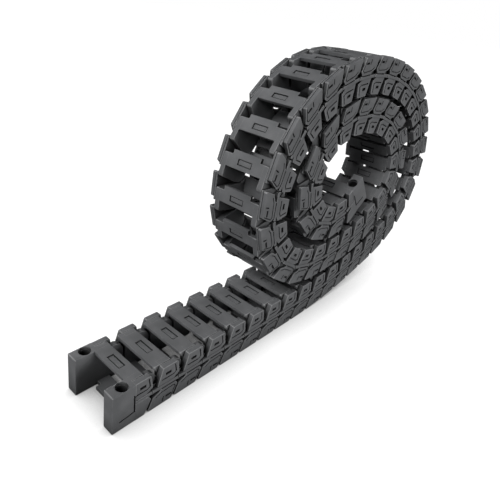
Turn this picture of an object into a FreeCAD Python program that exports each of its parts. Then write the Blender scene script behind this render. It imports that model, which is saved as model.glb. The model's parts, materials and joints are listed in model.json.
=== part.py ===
import FreeCAD, Part
import math
import os

# Cable drag chain, in millimetres: a fork bracket, a row of moulded links and an end bracket.
# X runs along the straight run away from the fork, Y across the chain, Z up from the floor.
# The origin is midway between the fork bracket's two screw holes, on the floor.
# A link's own drawing has its start hinge at the origin, its end hinge one pitch along X,
# and Z points to the side that is on the inside of a bend.

# Driving dimensions. A taller link is also longer, so that the turns of the coil stay apart.
LINKS = 57
WIDTH = 37.0
INSIDE_WIDTH = 23.4
HEIGHT = 21.6
PITCH_TO_HEIGHT = 55 / 72
PITCH = HEIGHT * PITCH_TO_HEIGHT
HINGE_UP = 12.4
LARGEST_BEND = 33.0

# Clearances
GAP = 0.3
STOP_SPARE = 1.0
PIN_CLEARANCE = 0.06

# Side walls: an outer plate, and inside it a tongue that carries the pin
OUTER_PLATE = 3.3
HALF_WIDTH = WIDTH / 2
PLATE_INNER_FACE = HALF_WIDTH - OUTER_PLATE
TONGUE_OUTER_FACE = PLATE_INNER_FACE - GAP
WALL_INNER_FACE = INSIDE_WIDTH / 2
ABOVE_HINGE = HEIGHT - HINGE_UP
OUTER_HALF_LAP = 2.15
OUTER_HALF_START = -OUTER_HALF_LAP
OUTER_HALF_END = PITCH + OUTER_HALF_START - GAP
INNER_HALF_END = PITCH - GAP
CORNER_CUT = 0.9

# The wall where tongue and outer plate are one, and the tongue beyond it
WALL_START = ABOVE_HINGE * math.tan(math.radians(LARGEST_BEND + STOP_SPARE))
WALL_SHORT = 3.2
WALL_END = PITCH - WALL_SHORT
TONGUE_SPARE = 1.3
TONGUE_REACH = WALL_START - TONGUE_SPARE
TONGUE_TOP = 3.8

# Hinge pin: round on its loaded side and flat beside that, in a socket with flats.
# Pin and socket are open above, where the inner halves of the plates close when the chain bends.
PIN_RADIUS = 1.1
PIN_LENGTH = 2.2
PIN_ROUND_ANGLE = 17.0
SOCKET_FLATS = 3
OPENING_ANGLE = 12.0

# Bridges that join the two side walls
OUTER_BRIDGE_START = 3.7
OUTER_BRIDGE_THICKNESS = 2.0
INNER_BRIDGE_START = 3.1
INNER_BRIDGE_THICKNESS = 1.8
HOOK_WIDTH = 2.6

# Brackets: two prongs, each with an upright screw hole
PRONG_REACH = 5.9
PRONG_BACK = 7.1
PRONG_HOLE_X = 1.2
PRONG_HOLE_WALL = 0.75
PRONG_HOLE_Y = (HALF_WIDTH + WALL_INNER_FACE) / 2
PRONG_HOLE_RADIUS = (HALF_WIDTH - WALL_INNER_FACE) / 2 - PRONG_HOLE_WALL

# Bend at some of the hinges, in degrees: between two of them it changes smoothly.
# The coil starts after the straight run, and gets tighter towards its middle.
BEND_AT_HINGE = (
    (8, 1.5),
    (10, 3.7),
    (13, 1.2),
    (16, 18.6),
    (18, 21.3),
    (21, 10.8),
    (26, 6.5),
    (30, 13.7),
    (32, 16.2),
    (36, 20.8),
    (40, 2.7),
    (42, 13.4),
    (45, 31.0),
    (48, 13.2),
    (50, 8.4),
    (52, 24.4),
    (54, LARGEST_BEND),
    (58, 26.0),
)


def bend(hinge):
    """Bend of one hinge at rest, in degrees: none in the straight run."""
    for (first, low), (last, high) in zip(BEND_AT_HINGE, BEND_AT_HINGE[1:]):
        if first <= hinge <= last:
            share = (hinge - first) / (last - first)
            return low + (high - low) * (1 - math.cos(math.pi * share)) / 2
    return 0.0


def prism(outline, y_low, y_high):
    """A plate with this outline in the X-Z plane, from one Y to another."""
    corners = [FreeCAD.Vector(x, y_low, z) for x, z in outline]
    face = Part.Face(Part.makePolygon(corners + corners[:1]))
    return face.extrude(FreeCAD.Vector(0, y_high - y_low, 0))


def block(x_low, x_high, y_low, y_high, z_low, z_high):
    corner = FreeCAD.Vector(x_low, y_low, z_low)
    return Part.makeBox(x_high - x_low, y_high - y_low, z_high - z_low, corner)


def both_sides(pieces):
    mirrored = [piece.mirror(FreeCAD.Vector(), FreeCAD.Vector(0, 1, 0)) for piece in pieces]
    return pieces + mirrored


def joined(pieces):
    return pieces[0].multiFuse(pieces[1:]).removeSplitter()


def on_circle(radius, turn, centre_x=0.0):
    """A point at an angle in degrees round a hinge."""
    angle = math.radians(turn)
    return centre_x + radius * math.cos(angle), radius * math.sin(angle)


def socket_outline():
    """Corners of the flats round the start hinge, as far as the sloping stop edge."""
    first = 180 + OPENING_ANGLE
    last = 360 + 90 - LARGEST_BEND - STOP_SPARE
    step = (last - first) / SOCKET_FLATS
    radius = (PIN_RADIUS + PIN_CLEARANCE) / math.cos(math.radians(step / 2))
    return [on_circle(radius, first + step * number) for number in range(SOCKET_FLATS + 1)]


def outer_half_plate():
    """The half of the outer plate on the outside of a bend, with the rib along the hinge line."""
    socket = socket_outline()
    rib_top = socket[-1][1]
    outline = [
        (OUTER_HALF_START, -GAP),
        (OUTER_HALF_START, -HINGE_UP),
        (OUTER_HALF_END, -HINGE_UP),
        (OUTER_HALF_END, 0),
        (INNER_HALF_END, 0),
        (INNER_HALF_END, rib_top),
    ]
    return prism(outline + socket[::-1], PLATE_INNER_FACE, HALF_WIDTH)


def inner_half_plate():
    """The half on the inside of a bend: its sloping start edge is the bend stop."""
    rib_start, rib_top = socket_outline()[-1]
    outline = [
        (rib_start, rib_top),
        (INNER_HALF_END, rib_top),
        (INNER_HALF_END, ABOVE_HINGE - CORNER_CUT),
        (INNER_HALF_END - CORNER_CUT, ABOVE_HINGE),
        (WALL_START, ABOVE_HINGE),
    ]
    return prism(outline, PLATE_INNER_FACE, HALF_WIDTH)


def tongue():
    """The inner wall and its rounded tongue, which turns inside the next link's outer plate."""
    tip = PITCH + TONGUE_REACH
    outline = [
        (WALL_START, -HINGE_UP),
        (PITCH + TONGUE_REACH * 0.6, -HINGE_UP),
        (tip, 0),
        (PITCH + TONGUE_REACH * 0.5, TONGUE_TOP),
        (WALL_END, TONGUE_TOP),
        (WALL_END, ABOVE_HINGE),
        (WALL_START, ABOVE_HINGE),
    ]
    return prism(outline, WALL_INNER_FACE, TONGUE_OUTER_FACE)


def wall_root():
    """What ties the inner wall to the outer plate."""
    return block(WALL_START, WALL_END, TONGUE_OUTER_FACE, PLATE_INNER_FACE, -HINGE_UP, ABOVE_HINGE)


def pin():
    """The pin on the outer face of the tongue, which turns in the next link's socket."""
    low = 270
    half_round = PIN_ROUND_ANGLE / 2
    turns = (180 + OPENING_ANGLE, low - half_round, low, low + half_round, 360 - OPENING_ANGLE)
    corners = []
    for turn in turns:
        x, z = on_circle(PIN_RADIUS, turn, PITCH)
        corners.append(FreeCAD.Vector(x, TONGUE_OUTER_FACE, z))
    start, round_start, round_middle, round_end, end = corners
    edges = [
        Part.makeLine(start, round_start),
        Part.Arc(round_start, round_middle, round_end).toShape(),
        Part.makeLine(round_end, end),
        Part.makeLine(end, start),
    ]
    return Part.Face(Part.Wire(edges)).extrude(FreeCAD.Vector(0, GAP + PIN_LENGTH, 0))


def outer_bridge():
    """The bridge on the outside of a bend: narrower at its start, where the neighbour's hooks are."""
    top = -HINGE_UP + OUTER_BRIDGE_THICKNESS
    neck = WALL_INNER_FACE - HOOK_WIDTH
    whole = block(WALL_START, WALL_END, -WALL_INNER_FACE, WALL_INNER_FACE, -HINGE_UP, top)
    return whole.fuse(block(OUTER_BRIDGE_START, WALL_START, -neck, neck, -HINGE_UP, top))


def inner_bridge():
    """The bridge on the inside of a bend."""
    low = ABOVE_HINGE - INNER_BRIDGE_THICKNESS
    return block(INNER_BRIDGE_START, WALL_END, -WALL_INNER_FACE, WALL_INNER_FACE, low, ABOVE_HINGE)


def link():
    sides = [outer_half_plate(), inner_half_plate(), tongue(), wall_root(), pin()]
    return joined(both_sides(sides) + [outer_bridge(), inner_bridge()])


def prong(x_low, x_high, hole_x):
    """One prong of a bracket, with its upright screw hole."""
    body = block(x_low, x_high, WALL_INNER_FACE, HALF_WIDTH, -HINGE_UP, ABOVE_HINGE)
    base = FreeCAD.Vector(hole_x, PRONG_HOLE_Y, -HINGE_UP)
    return body.cut(Part.makeCylinder(PRONG_HOLE_RADIUS, HEIGHT, base))


def fork_bracket():
    """The bracket that the first link hinges on: prongs in front, a link's end behind."""
    behind = block(PRONG_BACK, PITCH, PLATE_INNER_FACE, HALF_WIDTH, -HINGE_UP, ABOVE_HINGE)
    plates = [outer_half_plate().common(behind), inner_half_plate().common(behind)]
    sides = plates + [prong(-PRONG_REACH, PRONG_BACK, PRONG_HOLE_X), tongue(), wall_root(), pin()]
    return joined(both_sides(sides) + [outer_bridge(), inner_bridge()])


def end_bracket():
    """The bracket at the inner end of the coil: a link's start, then prongs."""
    prong_start = PITCH - PRONG_BACK
    before = block(OUTER_HALF_START, prong_start, PLATE_INNER_FACE, HALF_WIDTH, -HINGE_UP, ABOVE_HINGE)
    plates = [outer_half_plate().common(before), inner_half_plate().common(before)]
    inner_wall = block(WALL_START, prong_start + GAP, WALL_INNER_FACE, PLATE_INNER_FACE, -HINGE_UP, ABOVE_HINGE)
    sides = plates + [inner_wall, prong(prong_start, PITCH + PRONG_REACH, PITCH - PRONG_HOLE_X)]
    return joined(both_sides(sides) + [outer_bridge(), inner_bridge()])


def placed(shape, x, z, turn):
    """A copy of a link's shape with its start hinge at (x, z), turned up by an angle in degrees."""
    copy = shape.copy()
    copy.Placement = FreeCAD.Placement(
        FreeCAD.Vector(x, 0, z), FreeCAD.Rotation(FreeCAD.Vector(0, 1, 0), -turn)
    )
    return copy


def export(name, shape):
    shape.exportStep(os.path.join("parts", name + ".step"))


def main():
    os.makedirs("parts", exist_ok=True)
    one_link = link()
    x, z, turn = -PRONG_HOLE_X, HINGE_UP, 0.0
    export("fork_bracket", placed(fork_bracket(), x, z, turn))
    for number in range(1, LINKS + 2):
        x += PITCH * math.cos(math.radians(turn))
        z += PITCH * math.sin(math.radians(turn))
        turn += bend(number)
        if number <= LINKS:
            export("link_%02d" % number, placed(one_link, x, z, turn))
        else:
            export("end_bracket", placed(end_bracket(), x, z, turn))


main()
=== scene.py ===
import json
import math

import bmesh
import bpy
from mathutils import Matrix, Vector

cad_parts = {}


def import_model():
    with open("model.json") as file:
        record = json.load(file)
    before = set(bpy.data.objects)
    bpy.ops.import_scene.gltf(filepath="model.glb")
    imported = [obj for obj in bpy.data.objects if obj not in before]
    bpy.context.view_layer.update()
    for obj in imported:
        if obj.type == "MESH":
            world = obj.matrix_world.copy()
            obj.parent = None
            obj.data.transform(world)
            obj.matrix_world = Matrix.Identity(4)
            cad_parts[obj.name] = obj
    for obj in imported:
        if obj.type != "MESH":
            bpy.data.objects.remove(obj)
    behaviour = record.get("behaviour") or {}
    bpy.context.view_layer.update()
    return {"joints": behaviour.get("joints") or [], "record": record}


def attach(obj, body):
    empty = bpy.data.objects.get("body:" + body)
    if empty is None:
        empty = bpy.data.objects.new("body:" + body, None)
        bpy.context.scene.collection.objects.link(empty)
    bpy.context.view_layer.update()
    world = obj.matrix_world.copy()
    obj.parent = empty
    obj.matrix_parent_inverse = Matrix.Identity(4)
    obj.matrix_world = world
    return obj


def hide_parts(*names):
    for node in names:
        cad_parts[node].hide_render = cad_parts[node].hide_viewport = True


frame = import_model()

# One link is drawn in millimetres: start hinge at the origin, X along the link,
# Y across the chain, Z towards the inside of a bend.
MM = 0.001
PITCH = 16.5
HALF_WIDTH = 18.5
BELOW = 12.4
ABOVE = 9.2

# Faces of the layers of a side wall, from the channel outwards: inner wall with its tongue,
# web, outer half. The inner half reaches from PLATE_INNER to INNER_FACE.
WALL_INNER = 11.7
TONGUE_OUTER = 14.9
PLATE_INNER = 15.2
WEB_FACE = 16.2
LAP_FACE = 16.5
INNER_FACE = 18.2

# Where the layers start and end along the link, the rib's height, and the hinge's radii
WALL_START = 6.2
WALL_END = 13.3
OUTER_START = -2.15
OUTER_END = 14.05
INNER_END = 16.2
RIB_LOW = -2.4
RIB_HIGH = -0.55
PIN_RADIUS = 1.1
SOCKET_RADIUS = 1.3

# Bridges between the two side walls
HOOK = 2.6
OUTER_BRIDGE_START = 3.7
OUTER_BRIDGE_THICKNESS = 2.0
INNER_BRIDGE_START = 3.1
INNER_BRIDGE_THICKNESS = 1.8
FORK_BRIDGE_START = 4.6

# Prongs of the two brackets, with their screw holes and the round sinks over these
PRONG_REACH = 5.9
PRONG_BACK = 7.1
PRONG_EDGE = 0.5
HOLE_X = 1.2
HOLE_Y = 15.1
HOLE_RADIUS = 2.65
SINK_RADIUS = 3.15
SINK_DEPTH = 1.6
PRONG_LINE = [(6.1, 3.4), (6.2, -6.4), (-2.0, -7.4)]
FORK_MARK_SHIFT = 1.3

# Two solids that are joined are set off by a little, so that no two faces lie in one plane.
# Where they are to be one they overlap, and a cut starts past the face that it is made in.
SET_OFF = 0.02
OVERLAP = 0.3
PAST = 1.0

# Bevelled edges, rounded corners and grooves
EDGE = 0.25
BEVEL = {"segments": 2, "profile": 0.6, "affect": "EDGES"}
CORNER = 0.4
CORNER_STEPS = 3
ROUND_SIDES = 48
LINE = 0.7
LINE_DEPTH = 0.9

# What close_up merges, what is shaded as a sharp edge, and which faces get a painted highlight
HAIR = 0.003
SHARP_ANGLE = math.radians(50)
HIGHLIGHT_FACE_AREA = 2.5
HIGHLIGHT_FACE_SLANT = 0.97

# Colours of the plastic, of the highlight painted on its edges, and of the floor as the object's light meets
# it
DARK_PLASTIC = (0.080, 0.082, 0.085, 1.0)
LIGHT_PLASTIC = (0.106, 0.108, 0.112, 1.0)
PAINTED_EDGE_HIGHLIGHT = (0.25, 0.252, 0.256, 1.0)
FLOOR_GREY = (0.14, 0.14, 0.14, 1.0)
WHITE = (1.0, 1.0, 1.0, 1.0)
SKY_LIGHT = 0.03
FLOOR_SIZE = 6.0
FLOOR_DROP = 0.0002

# Where the photograph was taken from, in pixels of its 500 x 500 and in link lengths
CAMERA_TURN = math.radians(-48.78925)
CAMERA_UP = math.radians(24.20878)
CAMERA_ROLL = math.radians(6.76518)
FOCAL_PIXELS = 474.88796
AIM_X, AIM_Y = 99.86098, 404.23304
DISTANCE = 13.76650
CENTRE_X, CENTRE_Y = 219.49303, 213.49044
IMAGE = 500.0
SENSOR = 36.0


def rounded(outline, radii):
    """The outline with its corners rounded, each by CORNER unless radii has another for its index."""
    points = []
    count = len(outline)
    for index in range(count):
        corner = Vector(outline[index])
        to_last = Vector(outline[index - 1]) - corner
        to_next = Vector(outline[(index + 1) % count]) - corner
        radius = radii.get(index, CORNER)
        if radius <= 0:
            points.append(tuple(corner))
            continue
        half = to_last.angle(to_next) / 2
        reach = min(radius / math.tan(half), 0.45 * to_last.length, 0.45 * to_next.length)
        radius = reach * math.tan(half)
        first = corner + to_last.normalized() * reach
        last = corner + to_next.normalized() * reach
        middle = corner + (to_last.normalized() + to_next.normalized()).normalized() * radius / math.sin(half)
        start, end = first - middle, last - middle
        sweep = start.angle_signed(end)
        for step in range(CORNER_STEPS + 1):
            angle = -sweep * step / CORNER_STEPS
            turned = Vector((
                start.x * math.cos(angle) - start.y * math.sin(angle),
                start.x * math.sin(angle) + start.y * math.cos(angle),
            ))
            points.append(tuple(middle + turned))
    return points


def prism(outline, y_low, y_high, edge=0.0):
    """A closed plate with this outline in the X-Z plane. The edges round its two faces get a bevel."""
    bm = bmesh.new()
    near = [bm.verts.new((x, y_low, z)) for x, z in outline]
    far = [bm.verts.new((x, y_high, z)) for x, z in outline]
    caps = [bm.faces.new(near), bm.faces.new(far[::-1])]
    count = len(outline)
    for index in range(count):
        following = (index + 1) % count
        bm.faces.new((near[following], near[index], far[index], far[following]))
    bmesh.ops.recalc_face_normals(bm, faces=bm.faces)
    if edge:
        rims = [rim for cap in caps for rim in cap.edges]
        bmesh.ops.bevel(bm, geom=rims, offset=edge, clamp_overlap=True, **BEVEL)
    return bm


def block(x_low, x_high, y_low, y_high, z_low, z_high, edge=0.0):
    """A box, with a bevel on every edge if that is asked for."""
    bm = bmesh.new()
    size = Vector((x_high - x_low, y_high - y_low, z_high - z_low))
    centre = Vector((x_high + x_low, y_high + y_low, z_high + z_low)) / 2
    bmesh.ops.create_cube(bm, size=1.0, matrix=Matrix.Translation(centre) @ Matrix.Diagonal((*size, 1.0)))
    if edge:
        bmesh.ops.bevel(bm, geom=bm.edges[:], offset=edge, **BEVEL)
    return bm


def slab(outline, z_low, z_high, edge=0.0):
    """A closed plate with this outline in the X-Y plane, from one Z to another."""
    bm = prism([(x, -y) for x, y in outline], z_low, z_high, edge)
    bmesh.ops.transform(bm, matrix=Matrix.Rotation(math.radians(90), 4, "X"), verts=bm.verts)
    return bm


def rod(radius, start, end):
    """A round bar between two points."""
    bm = bmesh.new()
    start, end = Vector(start), Vector(end)
    length = (end - start).length
    turn = Vector((0, 0, 1)).rotation_difference(end - start).to_matrix().to_4x4()
    bmesh.ops.create_cone(bm, cap_ends=True, segments=ROUND_SIDES, radius1=radius, radius2=radius,
                          depth=length, matrix=Matrix.Translation((start + end) / 2) @ turn)
    return bm


def strip(points, width):
    """The outline of a line with a width, for a groove along it."""
    left, right = [], []
    for index, point in enumerate(points):
        here = Vector(point)
        before = here - Vector(points[index - 1]) if index > 0 else None
        after = Vector(points[index + 1]) - here if index < len(points) - 1 else None
        way_in = (before or after).normalized()
        way_out = (after or before).normalized()
        across_in = Vector((-way_in.y, way_in.x))
        across_out = Vector((-way_out.y, way_out.x))
        across = (across_in + across_out).normalized()
        across *= width / 2 / across.dot(across_in)
        left.append(tuple(here + across))
        right.append(tuple(here - across))
    return left + right[::-1]


def groove(points, face, width=LINE, depth=LINE_DEPTH):
    """What is cut out for a groove along a line, in a face across the chain."""
    return prism(strip(points, width), face - depth, face + PAST)


def mirrored(bm):
    """A copy on the other side of the chain."""
    copy = bm.copy()
    bmesh.ops.transform(copy, matrix=Matrix.Scale(-1, 4, (0, 1, 0)), verts=copy.verts)
    bmesh.ops.reverse_faces(copy, faces=copy.faces)
    return copy


def both_sides(solids):
    return solids + [mirrored(bm) for bm in solids]


def scene_object(name, data):
    obj = bpy.data.objects.new(name, data)
    bpy.context.scene.collection.objects.link(obj)
    return obj


def evaluated_mesh(obj):
    """A new mesh: the object's own with its modifiers applied."""
    return bpy.data.meshes.new_from_object(obj.evaluated_get(bpy.context.evaluated_depsgraph_get()))


def combine(target, solids, operation):
    """Joins the solids to the target, or takes them out of it."""
    for bm in solids:
        mesh = bpy.data.meshes.new("tool")
        bm.to_mesh(mesh)
        bm.free()
        tool = scene_object("tool", mesh)
        modifier = target.modifiers.new("combine", "BOOLEAN")
        modifier.operation = operation
        modifier.solver = "EXACT"
        modifier.object = tool
        result = evaluated_mesh(target)
        target.modifiers.clear()
        old = target.data
        target.data = result
        bpy.data.meshes.remove(old)
        bpy.data.objects.remove(tool)
        bpy.data.meshes.remove(mesh)


def close_up(mesh):
    """Merges corners that the joining left a hair apart."""
    bm = bmesh.new()
    bm.from_mesh(mesh)
    bmesh.ops.remove_doubles(bm, verts=bm.verts, dist=HAIR)
    bmesh.ops.dissolve_degenerate(bm, edges=bm.edges, dist=HAIR / 3)
    rims = [edge for edge in bm.edges if edge.is_boundary]
    if rims:
        bmesh.ops.holes_fill(bm, edges=rims, sides=0)
    bm.to_mesh(mesh)
    bm.free()


def mark_edges(mesh):
    """Notes which faces are small slanted ones along an edge, where a lighter colour is painted on as a
    highlight.
    """
    painted_highlight = mesh.attributes.new("painted_highlight", "FLOAT", "FACE")
    for polygon in mesh.polygons:
        steepest = max(abs(part) for part in polygon.normal)
        if steepest < HIGHLIGHT_FACE_SLANT and polygon.area < HIGHLIGHT_FACE_AREA:
            painted_highlight.data[polygon.index].value = 1.0


def moulding(name, solids, cuts, material):
    """One closed moulded mesh in metres: the solids joined, the cuts taken out, and the pads put in."""
    mesh = bpy.data.meshes.new(name)
    solids[0].to_mesh(mesh)
    solids[0].free()
    target = scene_object(name + "_draft", mesh)
    combine(target, solids[1:], "UNION")
    combine(target, cuts, "DIFFERENCE")
    combine(target, bridge_pads(), "UNION")
    mesh = target.data
    close_up(mesh)
    for polygon in mesh.polygons:
        polygon.use_smooth = True
    mesh.set_sharp_from_angle(angle=SHARP_ANGLE)
    weighted = target.modifiers.new("normals", "WEIGHTED_NORMAL")
    weighted.keep_sharp = True
    result = evaluated_mesh(target)
    bpy.data.objects.remove(target)
    bpy.data.meshes.remove(mesh)
    result.name = name
    mark_edges(result)
    result.transform(Matrix.Scale(MM, 4))
    result.materials.clear()
    result.materials.append(material)
    return result


# The side walls of a link

def web():
    """The back layer of the outer plate, with the socket for the neighbour's pin."""
    outline = [
        (OUTER_START, -BELOW),
        (OUTER_END, -BELOW),
        (OUTER_END, 0.4),
        (0.27, 0.4),
        (0.0, 0.0),
        (OUTER_START, -2.6),
    ]
    return prism(rounded(outline, {2: 0.2, 3: 0, 4: 0}), PLATE_INNER, WEB_FACE, edge=0.15)


def outer_half():
    """The front layer on the outside of a bend: a leaning plate, its upper corners cut."""
    outline = [
        (OUTER_START - 0.35, -BELOW + SET_OFF),
        (12.2, -BELOW + SET_OFF),
        (16.0, -4.9),
        (14.6, RIB_LOW - 0.7),
        (14.0, RIB_LOW),
        (5.3, RIB_LOW),
        (4.6, -3.8),
        (0.5, -5.4),
    ]
    return prism(rounded(outline, {0: 0.8, 1: 0.8, 4: 0, 5: 0}), LAP_FACE, HALF_WIDTH, EDGE)


def rib():
    """The bar along the hinge line, from hinge to hinge."""
    return block(0.1, INNER_END, LAP_FACE, HALF_WIDTH, RIB_LOW, RIB_HIGH, EDGE)


def inner_half():
    """The half plate on the inside of a bend. Its start edge is the bend stop."""
    outline = [
        (3.3, -0.8),
        (12.9, -0.8),
        (16.9, 1.5),
        (15.7, ABOVE),
        (6.3, ABOVE),
        (3.5, 0.3),
    ]
    corners = rounded(outline, {0: 0, 1: 0, 3: 1.2, 4: 0.5, 5: 0})
    return prism(corners, PLATE_INNER + SET_OFF, INNER_FACE, EDGE)


def tie():
    """What joins the front layer to the back layer."""
    return block(1.0, 12.0, WEB_FACE - OVERLAP, LAP_FACE + OVERLAP, -BELOW + 1.0, RIB_HIGH - 0.4)


def tongue():
    """The inner wall and its rounded tongue, which turns inside the next link's outer plate."""
    outline = [
        (WALL_START, -BELOW),
        (19.44, -BELOW),
        (21.4, 0.0),
        (21.2, 3.4),
        (19.5, 6.0),
        (17.2, 7.0),
        (14.3, 7.2),
        (WALL_END, 7.3),
        (WALL_END, ABOVE),
        (WALL_START, ABOVE),
    ]
    corners = rounded(outline, {1: 1.5, 2: 1.5, 3: 1.5, 4: 1.5, 5: 1.5, 6: 0, 7: 0})
    return prism(corners, WALL_INNER, TONGUE_OUTER, EDGE)


def wall_root():
    """What joins the inner wall to the outer plate."""
    return block(WALL_START + EDGE, WALL_END - EDGE, TONGUE_OUTER - OVERLAP, PLATE_INNER + OVERLAP,
                 -BELOW + EDGE, ABOVE - EDGE)


def gusset():
    """What holds the front of the inner bridge over the neighbour's tongue."""
    outline = [(WALL_START + 0.4, 4.3), (WALL_START + 0.4, 8.0), (3.4, 8.0), (3.4, 7.4)]
    return prism(outline, WALL_INNER - 0.4, TONGUE_OUTER - 0.15)


def pin():
    """The pin on the tongue, which turns in the next link's socket."""
    return rod(PIN_RADIUS, (PITCH, TONGUE_OUTER - 0.5, 0.0), (PITCH, WEB_FACE - 0.1, 0.0))


def socket():
    """The round hole in the web for the neighbour's pin."""
    return rod(SOCKET_RADIUS, (0.0, PLATE_INNER - 0.5, 0.0), (0.0, WEB_FACE + 0.15, 0.0))


def outer_bridge():
    """The bridge on the outside of a bend. It is narrower at its start."""
    neck = WALL_INNER - HOOK
    side = WALL_INNER + 1.0
    outline = [
        (OUTER_BRIDGE_START, -neck),
        (WALL_START, -neck),
        (WALL_START, -side),
        (WALL_END, -side),
        (WALL_END, side),
        (WALL_START, side),
        (WALL_START, neck),
        (OUTER_BRIDGE_START, neck),
    ]
    return slab(outline, -BELOW + SET_OFF, -BELOW + OUTER_BRIDGE_THICKNESS, EDGE)


def inner_bridge(start=INNER_BRIDGE_START):
    """The bridge on the inside of a bend. It reaches over the neighbour's tongues at its start."""
    side = TONGUE_OUTER - 0.1
    outline = [
        (start, -side),
        (WALL_END - SET_OFF, -side),
        (WALL_END - SET_OFF, side),
        (start, side),
    ]
    corners = rounded(outline, {0: 1.0, 3: 1.0})
    return slab(corners, ABOVE - INNER_BRIDGE_THICKNESS, ABOVE - SET_OFF, EDGE)


def inner_marks(shift=0.0):
    """The recess and the bent line on the inner half, on one side."""
    line = [(13.75, 8.2), (14.75, 3.3), (13.0, 2.3), (5.7, 2.3)]
    return [
        block(8.0 + shift, 11.5 + shift, INNER_FACE - 1.2, HALF_WIDTH + PAST, 4.2, 5.8),
        groove([(x + shift / 3, z) for x, z in line], INNER_FACE),
    ]


def outer_marks():
    """The hook and the border line on the outer half, on one side."""
    border = [(2.2, -6.3), (5.2, -4.9), (13.4, -4.5), (14.5, -5.6), (11.9, -11.2)]
    under_rib = [(5.6, RIB_LOW - 0.15), (14.4, RIB_LOW - 0.15)]
    return [
        groove([(6.5, -11.1), (7.3, -8.3)], HALF_WIDTH),
        block(8.6, 12.2, HALF_WIDTH - 1.0, HALF_WIDTH + PAST, -9.7, -8.5),
        groove(border, HALF_WIDTH, width=0.55, depth=0.7),
        groove(under_rib, HALF_WIDTH, depth=1.1),
    ]


def bridge_marks():
    """Bare recesses in the middle of the two bridges."""
    return [
        block(7.6, 11.0, -4.6, 4.6, -BELOW - PAST, -BELOW + 0.9),
        block(6.8, 10.6, -5.0, 5.0, ABOVE - 0.9, ABOVE + PAST),
    ]


def bridge_pads():
    """Plain raised pads in those recesses."""
    return [
        block(8.2, 10.4, -4.0, 4.0, -BELOW + 0.35, -BELOW + 1.2, edge=0.1),
        block(7.4, 10.0, -4.4, 4.4, ABOVE - 1.2, ABOVE - 0.35, edge=0.1),
    ]


def plate_layers():
    """The outer plate's solids, on one side."""
    return [web(), outer_half(), rib(), inner_half(), tie()]


def link_mesh(material):
    """One link, which all of them share."""
    sides = both_sides(plate_layers() + [tongue(), wall_root(), pin(), gusset()])
    cuts = both_sides([socket()] + inner_marks() + outer_marks()) + bridge_marks()
    return moulding("link_moulding", sides + [outer_bridge(), inner_bridge()], cuts, material)


# The two brackets

def cut_to(bm, x_low, x_high):
    """The part of a plate between two planes across the chain."""
    for place, way in ((x_low, -1.0), (x_high, 1.0)):
        every = bm.verts[:] + bm.edges[:] + bm.faces[:]
        cut = bmesh.ops.bisect_plane(bm, geom=every, plane_co=(place, 0, 0), plane_no=(way, 0, 0),
                                     clear_outer=True)
        rim = [item for item in cut["geom_cut"] if isinstance(item, bmesh.types.BMEdge)]
        if rim:
            bmesh.ops.holes_fill(bm, edges=rim, sides=0)
    bmesh.ops.recalc_face_normals(bm, faces=bm.faces)
    return bm


def prong(x_low, x_high):
    """One of the two arms of a bracket, on one side."""
    return block(x_low, x_high, WALL_INNER, HALF_WIDTH, -BELOW, ABOVE, PRONG_EDGE)


def screw_hole(x):
    """The hole through a prong, and the round sink above it for the screw's head."""
    return [
        rod(HOLE_RADIUS, (x, HOLE_Y, -BELOW - PAST), (x, HOLE_Y, ABOVE + PAST)),
        rod(SINK_RADIUS, (x, HOLE_Y, ABOVE - SINK_DEPTH), (x, HOLE_Y, ABOVE + PAST)),
    ]


def prong_mark(line):
    """The bent groove on the outer face of a prong."""
    return [groove(line, HALF_WIDTH, width=0.8)]


def fork_mesh(material):
    """The bracket that the first link hinges on: prongs in front, a link's end behind."""
    plates = [cut_to(layer, PRONG_BACK - OVERLAP, INNER_END + PAST) for layer in plate_layers()]
    sides = both_sides(plates + [tongue(), wall_root(), pin(), prong(-PRONG_REACH, PRONG_BACK)])
    marks = inner_marks(FORK_MARK_SHIFT) + prong_mark(PRONG_LINE)
    cuts = both_sides(screw_hole(HOLE_X) + marks) + bridge_marks()
    bridges = [outer_bridge(), inner_bridge(FORK_BRIDGE_START)]
    return moulding("fork_moulding", sides + bridges, cuts, material)


def end_mesh(material):
    """The bracket at the inner end of the coil: a link's start, then prongs."""
    start = PITCH - PRONG_BACK
    plates = [cut_to(layer, OUTER_START - PAST, start + OVERLAP) for layer in plate_layers()]
    inner_wall = block(WALL_START, start + 1.0, WALL_INNER, PLATE_INNER + 0.5,
                       -BELOW + SET_OFF, ABOVE - SET_OFF)
    sides = both_sides(plates + [inner_wall, prong(start, PITCH + PRONG_REACH)])
    marks = prong_mark([(PITCH - x, z) for x, z in PRONG_LINE])
    cuts = both_sides([socket()] + screw_hole(PITCH - HOLE_X) + marks) + bridge_marks()
    return moulding("end_moulding", sides + [outer_bridge(), inner_bridge()], cuts, material)


# Material

def mapped(nodes, links, value, changes):
    """A node that maps a value to another range."""
    node = nodes.new("ShaderNodeMapRange")
    for name, number in changes.items():
        node.inputs[name].default_value = number
    links.new(value, node.inputs["Value"])
    return node.outputs["Result"]


def noise(nodes, links, scale, detail):
    """Noise in the piece's own coordinates, in metres."""
    place = nodes.new("ShaderNodeTexCoord")
    node = nodes.new("ShaderNodeTexNoise")
    node.inputs["Scale"].default_value = scale
    node.inputs["Detail"].default_value = detail
    links.new(place.outputs["Object"], node.inputs["Vector"])
    return node.outputs["Fac"]


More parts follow.
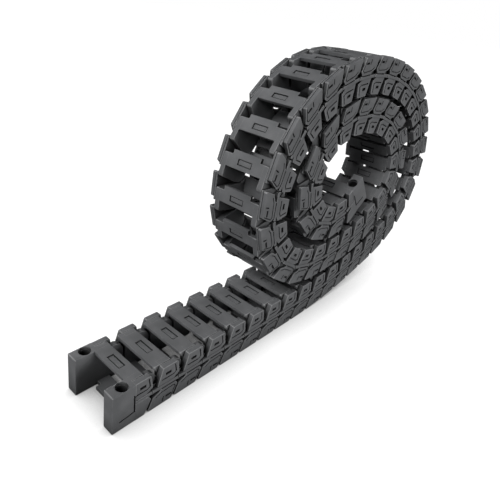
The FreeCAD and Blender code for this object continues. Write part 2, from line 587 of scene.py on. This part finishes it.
def plastic_colour(nodes, links, stains):
    """Uneven dark grey, with a highlight painted lighter along edges and shade painted nearly black in
    hollows.
    """
    tone = nodes.new("ShaderNodeValToRGB")
    tone.color_ramp.elements[0].position = 0.35
    tone.color_ramp.elements[0].color = DARK_PLASTIC
    tone.color_ramp.elements[1].position = 0.65
    tone.color_ramp.elements[1].color = LIGHT_PLASTIC
    links.new(stains, tone.inputs["Fac"])
    # Painted highlight: the small slanted faces along edges are coloured lighter, unevenly.
    painted_highlight = nodes.new("ShaderNodeAttribute")
    painted_highlight.attribute_name = "painted_highlight"
    highlight_amount = nodes.new("ShaderNodeMath")
    highlight_amount.operation = "MULTIPLY"
    links.new(painted_highlight.outputs["Fac"], highlight_amount.inputs[0])
    links.new(stains, highlight_amount.inputs[1])
    edges = nodes.new("ShaderNodeMixRGB")
    edges.inputs["Color2"].default_value = PAINTED_EDGE_HIGHLIGHT
    links.new(highlight_amount.outputs["Value"], edges.inputs["Fac"])
    links.new(tone.outputs["Color"], edges.inputs["Color1"])
    # Painted shade: ambient occlusion darkens the colour towards black in hollows and gaps.
    hollow = nodes.new("ShaderNodeAmbientOcclusion")
    hollow.samples = 6
    hollow.inputs["Distance"].default_value = 0.014
    painted_shade = nodes.new("ShaderNodeMixRGB")
    painted_shade.blend_type = "MULTIPLY"
    painted_shade.inputs["Fac"].default_value = 1.0
    links.new(edges.outputs["Color"], painted_shade.inputs["Color1"])
    dark = mapped(nodes, links, hollow.outputs["AO"], {"From Min": 0.3, "From Max": 0.9, "To Min": 0.1})
    links.new(dark, painted_shade.inputs["Color2"])
    return painted_shade.outputs["Color"]


def plastic():
    """Moulded plastic with a fine grain and a slightly uneven gloss; its colour carries painted highlights
    and painted shade.
    """
    material = bpy.data.materials.new("moulded_plastic")
    material.use_nodes = True
    nodes = material.node_tree.nodes
    links = material.node_tree.links
    shader = nodes["Principled BSDF"]
    shader.inputs["Specular IOR Level"].default_value = 0.45
    stains = noise(nodes, links, scale=90.0, detail=4.0)
    links.new(plastic_colour(nodes, links, stains), shader.inputs["Base Color"])
    gloss = mapped(nodes, links, stains, {"To Min": 0.42, "To Max": 0.58})
    links.new(gloss, shader.inputs["Roughness"])
    bump = nodes.new("ShaderNodeBump")
    bump.inputs["Strength"].default_value = 0.25
    bump.inputs["Distance"].default_value = 0.0001
    grain = noise(nodes, links, scale=2200.0, detail=3.0)
    links.new(grain, bump.inputs["Height"])
    links.new(bump.outputs["Normal"], shader.inputs["Normal"])
    return material


# Placing the pieces on the CAD's hinges

def placed(name, mesh, x, z, turn):
    """Stands a mesh at its start hinge, in place of the CAD node of this name."""
    obj = scene_object("shown_" + name, mesh)
    obj.matrix_world = Matrix.Translation((x, 0.0, z)) @ Matrix.Rotation(-turn, 4, "Y")
    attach(obj, name)
    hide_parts(name)


def place_chain(material):
    """A link's turn comes from its two hinges, and the end bracket's from its mount's axis."""
    hinges = [joint["pos_m"] for joint in frame["joints"]]
    fork_x = -HOLE_X * MM
    places = [(fork_x, BELOW * MM)] + [(hinge[0], hinge[2]) for hinge in hinges]
    placed("fork_bracket", fork_mesh(material), *places[0], 0.0)
    link = link_mesh(material)
    for number in range(1, len(hinges)):
        x, z = places[number]
        next_x, next_z = places[number + 1]
        placed("link_%02d" % number, link, x, z, math.atan2(next_z - z, next_x - x))
    mounts = {mount["name"]: mount for mount in frame["record"]["mounts"]}
    axis = mounts["end_screw_holes"]["axis"]
    placed("end_bracket", end_mesh(material), *places[-1], math.atan2(-axis[0], axis[2]))


# Camera, floor and light

def camera():
    """The camera that the photograph was taken with, as fitted to the chain's points."""
    cos, sin = math.cos, math.sin
    back = Vector((sin(CAMERA_TURN) * cos(CAMERA_UP), -cos(CAMERA_TURN) * cos(CAMERA_UP), sin(CAMERA_UP)))
    level_right = Vector((cos(CAMERA_TURN), sin(CAMERA_TURN), 0.0))
    level_up = back.cross(level_right)
    right = cos(CAMERA_ROLL) * level_right + sin(CAMERA_ROLL) * level_up
    up = cos(CAMERA_ROLL) * level_up - sin(CAMERA_ROLL) * level_right
    across = (AIM_X - CENTRE_X) / FOCAL_PIXELS * DISTANCE
    raised = (CENTRE_Y - AIM_Y) / FOCAL_PIXELS * DISTANCE
    place = (DISTANCE * back - across * right - raised * up) * PITCH * MM
    place.x -= HOLE_X * MM
    data = bpy.data.cameras.new("camera")
    data.sensor_width = SENSOR
    data.lens = FOCAL_PIXELS / IMAGE * SENSOR
    data.shift_x = (IMAGE / 2 - CENTRE_X) / IMAGE
    data.shift_y = (CENTRE_Y - IMAGE / 2) / IMAGE
    data.clip_start = 0.01
    obj = scene_object("camera", data)
    columns = Matrix((right, up, back)).transposed().to_4x4()
    obj.matrix_world = Matrix.Translation(place) @ columns
    bpy.context.scene.camera = obj


def floor_material():
    """White as the camera sees it, apart from a painted soft shadow near the object."""
    material = bpy.data.materials.new("pale_floor")
    material.use_nodes = True
    nodes = material.node_tree.nodes
    links = material.node_tree.links
    nodes.clear()
    diffuse = nodes.new("ShaderNodeBsdfDiffuse")
    diffuse.inputs["Color"].default_value = FLOOR_GREY
    # Painted shadow: ambient occlusion dims the floor's glow to the camera near the object.
    contact = nodes.new("ShaderNodeAmbientOcclusion")
    contact.inputs["Distance"].default_value = 0.035
    shade = mapped(nodes, links, contact.outputs["AO"], {"From Min": 0.1, "From Max": 0.85})
    glow = nodes.new("ShaderNodeEmission")
    path = nodes.new("ShaderNodeLightPath")
    level = nodes.new("ShaderNodeMath")
    level.operation = "MULTIPLY"
    links.new(path.outputs["Is Camera Ray"], level.inputs[0])
    links.new(shade, level.inputs[1])
    links.new(level.outputs["Value"], glow.inputs["Strength"])
    total = nodes.new("ShaderNodeAddShader")
    links.new(diffuse.outputs["BSDF"], total.inputs[0])
    links.new(glow.outputs["Emission"], total.inputs[1])
    output = nodes.new("ShaderNodeOutputMaterial")
    links.new(total.outputs["Shader"], output.inputs["Surface"])
    return material


def floor():
    bm = bmesh.new()
    bmesh.ops.create_grid(bm, x_segments=1, y_segments=1, size=FLOOR_SIZE)
    mesh = bpy.data.meshes.new("floor")
    bm.to_mesh(mesh)
    bm.free()
    mesh.materials.append(floor_material())
    obj = scene_object("floor", mesh)
    obj.location.z = -FLOOR_DROP


def world():
    """White to the camera, and a weak light from all round."""
    sky = bpy.data.worlds.new("studio")
    bpy.context.scene.world = sky
    sky.use_nodes = True
    nodes = sky.node_tree.nodes
    links = sky.node_tree.links
    nodes.clear()
    path = nodes.new("ShaderNodeLightPath")
    shown = nodes.new("ShaderNodeBackground")
    shown.inputs["Color"].default_value = WHITE
    light = nodes.new("ShaderNodeBackground")
    light.inputs["Color"].default_value = WHITE
    light.inputs["Strength"].default_value = SKY_LIGHT
    mix = nodes.new("ShaderNodeMixShader")
    links.new(path.outputs["Is Camera Ray"], mix.inputs["Fac"])
    links.new(light.outputs["Background"], mix.inputs[1])
    links.new(shown.outputs["Background"], mix.inputs[2])
    output = nodes.new("ShaderNodeOutputWorld")
    links.new(mix.outputs["Shader"], output.inputs["Surface"])


def sun(name, turn, height, strength, spread):
    """A soft, even light. Its direction is 0 degrees from the near side and 90 from the coil's end."""
    data = bpy.data.lights.new(name, "SUN")
    data.energy = strength
    data.angle = math.radians(spread)
    obj = scene_object(name, data)
    turn, height = math.radians(turn), math.radians(height)
    back = Vector((math.sin(turn) * math.cos(height), -math.cos(turn) * math.cos(height), math.sin(height)))
    obj.rotation_euler = back.to_track_quat("Z", "Y").to_euler()


def lights():
    sun("left", turn=-82.0, height=36.0, strength=3.7, spread=30.0)
    sun("right", turn=8.0, height=12.0, strength=2.7, spread=30.0)
    sun("behind", turn=172.0, height=10.0, strength=2.4, spread=40.0)


camera()
floor()
world()
lights()
place_chain(plastic())

bpy.context.scene.view_settings.view_transform = "Standard"
